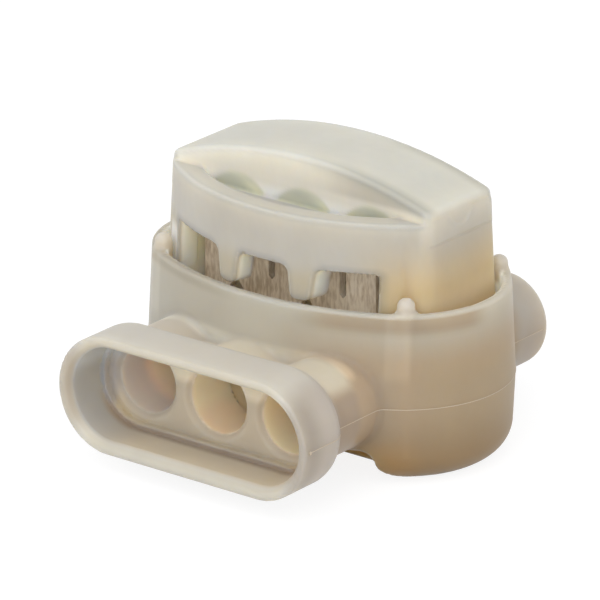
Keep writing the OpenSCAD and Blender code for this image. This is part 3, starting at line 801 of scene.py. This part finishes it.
def cap_depth(x, y, z):
    """How far light travels inside the cap, in millimetres: 4 everywhere."""
    return np.full(len(x), 4.0)


paint(cap, cap_tone_and_light, cap_depth)

# %% [markdown]
# ## The plastic's material
# Subsurface scattering does the milky look. Red light travels furthest inside, blue
# the least, which warms the thick parts. A fine grain breaks up the gloss. The cap is
# a little rougher than the base. The thin flash of the parting line has a plain
# finish, because scattering would darken a thread so fine.

# %% Plastic for the mouldings
LIGHT_REACH = (1.0, 0.85, 0.6)


def new_material(name):
    """A material with nodes, its node tree and its Principled shader."""
    made = bpy.data.materials.new(name)
    made.use_nodes = True
    return made, made.node_tree, made.node_tree.nodes["Principled BSDF"]


def set_sockets(node, values):
    """Sets a node's own sockets by name."""
    for socket, value in values.items():
        node.inputs[socket].default_value = value


def plastic(name, roughness, gloss, grain):
    """Scattering plastic: its colour and the light's way inside come from the attributes, and a fine
    grain roughens its gloss."""
    made, tree, shader = new_material(name)
    link = tree.links.new
    tone = tree.nodes.new("ShaderNodeAttribute")
    tone.attribute_name = "tone"
    depth = tree.nodes.new("ShaderNodeAttribute")
    depth.attribute_name = "depth"
    place = tree.nodes.new("ShaderNodeTexCoord")
    noise = tree.nodes.new("ShaderNodeTexNoise")
    set_sockets(noise, {"Scale": grain, "Detail": 4})
    bump = tree.nodes.new("ShaderNodeBump")
    set_sockets(bump, {"Strength": 0.12, "Distance": 0.05 * MM})
    set_sockets(shader, {
        "Roughness": roughness,
        "IOR": 1.49,
        "Specular IOR Level": gloss,
        "Subsurface Weight": 1.0,
        "Subsurface Radius": LIGHT_REACH,
    })
    link(tone.outputs["Color"], shader.inputs["Base Color"])
    link(depth.outputs["Fac"], shader.inputs["Subsurface Scale"])
    link(place.outputs["Object"], noise.inputs["Vector"])
    link(noise.outputs["Fac"], bump.inputs["Height"])
    link(bump.outputs["Normal"], shader.inputs["Normal"])
    print(name, "has roughness", roughness)
    return made


base.data.materials.append(plastic("base_plastic", 0.45, 0.4, 900.0))
cap.data.materials.append(plastic("cap_plastic", 0.55, 0.25, 1100.0))
flash, _, flash_shader = new_material("flash")
set_sockets(flash_shader, {"Base Color": (0.56, 0.47, 0.36, 1), "Roughness": 0.35})
parting.data.materials.append(flash)

# %% [markdown]
# ## Contact and gel
# The contact is stamped from sheet and tin plated, dull and a little streaky. Its CAD
# solid is already right, so it keeps its mesh and only gets a bevel and a finish. The
# gel is a soft clear sealant, seen through the ports and under the cap.

# %% Metal and gel
# How far each metre towards +X moves the tin along its ramp from tarnished to bright: painted light, for the
# plates further right that catch more light
PAINTED_LIGHT_PER_METRE = 12.0


def metal(name):
    """Dull tin over brass: pale, with brown clouds and short upright scratches, and painted light that
    brightens it towards +X.
    """
    made, tree, shader = new_material(name)
    link = tree.links.new
    place = tree.nodes.new("ShaderNodeTexCoord")
    stretch = tree.nodes.new("ShaderNodeMapping")
    set_sockets(stretch, {"Scale": (1.0, 1.0, 0.25)})
    streaks = tree.nodes.new("ShaderNodeTexNoise")
    set_sockets(streaks, {"Scale": 5000.0, "Detail": 6})
    clouds = tree.nodes.new("ShaderNodeTexNoise")
    set_sockets(clouds, {"Scale": 260.0, "Detail": 3})
    blend = tree.nodes.new("ShaderNodeMix")
    set_sockets(blend, {"Factor": 0.45})
    across = tree.nodes.new("ShaderNodeSeparateXYZ")
    # Painted light: the tin is brighter the further it lies towards +X
    lit_towards_right = tree.nodes.new("ShaderNodeMath")
    lit_towards_right.operation = "MULTIPLY_ADD"
    lit_towards_right.inputs[1].default_value = PAINTED_LIGHT_PER_METRE
    ramp = tree.nodes.new("ShaderNodeValToRGB")
    dark, bright = ramp.color_ramp.elements
    dark.position, dark.color = 0.38, (0.56, 0.46, 0.34, 1)
    bright.position, bright.color = 0.6, (1.0, 0.92, 0.79, 1)
    link(place.outputs["Object"], stretch.inputs["Vector"])
    link(stretch.outputs["Vector"], streaks.inputs["Vector"])
    link(place.outputs["Object"], clouds.inputs["Vector"])
    link(streaks.outputs["Fac"], blend.inputs["A"])
    link(clouds.outputs["Fac"], blend.inputs["B"])
    link(place.outputs["Object"], across.inputs["Vector"])
    link(across.outputs["X"], lit_towards_right.inputs[0])
    link(blend.outputs["Result"], lit_towards_right.inputs[2])
    link(lit_towards_right.outputs["Value"], ramp.inputs["Fac"])
    link(ramp.outputs["Color"], shader.inputs["Base Color"])
    set_sockets(shader, {"Metallic": 0.15, "Roughness": 0.55})
    return made


contact = frame["nodes"]["contact_element"]
contact.data.materials.clear()
contact.data.materials.append(metal("contact_metal"))
soften = contact.modifiers.new("stamped_edges", "BEVEL")
soften.width = 0.04 * MM
soften.segments = 2
soften.limit_method = "ANGLE"

gel = frame["nodes"]["sealing_gel"]
gel_finish, _, gel_shader = new_material("gel")
set_sockets(gel_shader, {
    "Base Color": (0.97, 0.82, 0.56, 1),
    "Roughness": 0.25,
    "Subsurface Weight": 0.25,
    "Subsurface Scale": 2.0 * MM,
    "Subsurface Radius": LIGHT_REACH,
})
gel.data.materials.clear()
gel.data.materials.append(gel_finish)
print("contact and gel finished, the contact's edges softened by", round(soften.width / MM, 3), "mm")

# %% [markdown]
# ## Floor, light and camera
# The photograph is a product shot on pure white. The floor is white paper. To the
# camera and to reflections it is mostly an even glow, so that it reads as white, while
# a share of grey paper still takes the object's soft shadow. A plain white world lights
# the part with two soft lamps, one large above its front and one before its right side.
# The camera is a long lens, from the side and distance that fit the photograph's ports.

# %% Floor and world
# The even glow and the light on the shadow's grey add up to white where nothing shades the floor
GLOW, SHADOW_GREY, PAPER_WHITE = 0.86, 0.21, 0.8


def white_floor():
    """Paper that the camera sees as white: mostly an even glow for camera, mirror and glass rays,
    and plain paper for light."""
    made, tree, shader = new_material("white_paper")
    tree.nodes.remove(shader)
    link = tree.links.new
    rays = tree.nodes.new("ShaderNodeLightPath")
    seen = tree.nodes.new("ShaderNodeMath")
    seen.operation = "MAXIMUM"
    seen_too = tree.nodes.new("ShaderNodeMath")
    seen_too.operation = "MAXIMUM"
    glow = tree.nodes.new("ShaderNodeEmission")
    set_sockets(glow, {"Color": (1, 1, 1, 1), "Strength": GLOW})
    shade = tree.nodes.new("ShaderNodeBsdfDiffuse")
    set_sockets(shade, {"Color": (SHADOW_GREY,) * 3 + (1,)})
    paper = tree.nodes.new("ShaderNodeBsdfDiffuse")
    set_sockets(paper, {"Color": (PAPER_WHITE,) * 3 + (1,)})
    add = tree.nodes.new("ShaderNodeAddShader")
    mix = tree.nodes.new("ShaderNodeMixShader")
    link(rays.outputs["Is Camera Ray"], seen.inputs[0])
    link(rays.outputs["Is Glossy Ray"], seen.inputs[1])
    link(seen.outputs[0], seen_too.inputs[0])
    link(rays.outputs["Is Transmission Ray"], seen_too.inputs[1])
    link(seen_too.outputs[0], mix.inputs["Fac"])
    link(paper.outputs[0], mix.inputs[1])
    link(glow.outputs[0], add.inputs[0])
    link(shade.outputs[0], add.inputs[1])
    link(add.outputs[0], mix.inputs[2])
    link(mix.outputs[0], tree.nodes["Material Output"].inputs["Surface"])
    return made


FLOOR_SIZE, FLOOR_DROP = 1.2, 0.00002
bpy.ops.mesh.primitive_plane_add(size=FLOOR_SIZE, location=(0, 0, -FLOOR_DROP))
floor = bpy.context.object
floor.name = "floor"
floor.data.materials.append(white_floor())

world = bpy.data.worlds.new("studio")
bpy.context.scene.world = world
world.use_nodes = True
sky_nodes, sky_link = world.node_tree.nodes, world.node_tree.links.new
sky = sky_nodes["Background"]
set_sockets(sky, {"Color": (0.97, 0.98, 1.0, 1), "Strength": 0.75})
seen_sky = sky_nodes.new("ShaderNodeBackground")
set_sockets(seen_sky, {"Color": (1, 1, 1, 1), "Strength": 1.0})
sky_rays = sky_nodes.new("ShaderNodeLightPath")
sky_mix = sky_nodes.new("ShaderNodeMixShader")
sky_link(sky_rays.outputs["Is Camera Ray"], sky_mix.inputs["Fac"])
sky_link(sky.outputs[0], sky_mix.inputs[1])
sky_link(seen_sky.outputs[0], sky_mix.inputs[2])
sky_link(sky_mix.outputs[0], sky_nodes["World Output"].inputs["Surface"])
print("floor", FLOOR_SIZE, "m wide, world at", round(sky.inputs["Strength"].default_value, 2))


# %% Lamps and camera
def soft_lamp(name, width, height, energy, place, turn):
    """An area lamp with its size in metres and power in watts, turned by degrees about X, Y and Z."""
    lamp = bpy.data.lights.new(name, "AREA")
    lamp.shape = "RECTANGLE"
    lamp.size, lamp.size_y = width, height
    lamp.energy = energy
    stand = show(bpy.data.objects.new(name, lamp))
    stand.location = place
    stand.rotation_euler = [math.radians(angle) for angle in turn]
    print(name, width, "by", height, "m at", place)


soft_lamp("soft_box", 0.5, 0.5, 1.1, (0.08, -0.32, 0.5), (32, 8, 0))
soft_lamp("front_box", 0.4, 0.3, 0.8, (0.25, -0.45, 0.2), (68, 0, 29))

# The view that fits the photograph's ports: its distance and its aim, a little left of and above
# the middle of the middle port's axis, are in millimetres
AZIMUTH, ELEVATION, DISTANCE = math.radians(37.699), math.radians(20.831), 371.32
AIM_RIGHT, AIM_UP = -1.8865, 2.959
back = np.array([
    math.sin(AZIMUTH) * math.cos(ELEVATION), -math.cos(AZIMUTH) * math.cos(ELEVATION), math.sin(ELEVATION)])
right = np.array([math.cos(AZIMUTH), math.sin(AZIMUTH), 0])
up = np.cross(back, right)
target = right * AIM_RIGHT + up * AIM_UP + np.array([0, 0, AXIS_Z])
lens = bpy.data.cameras.new("camera")
lens.lens, lens.sensor_width = 360, 36
lens.clip_start, lens.clip_end = 0.01, 10
camera = show(bpy.data.objects.new("camera", lens))
camera.location = (target + back * DISTANCE) * MM
camera.rotation_euler = (math.pi / 2 - ELEVATION, 0, AZIMUTH)
bpy.context.scene.camera = camera
bpy.context.scene.view_settings.view_transform = "Standard"
print("camera at", [round(v, 4) for v in camera.location])
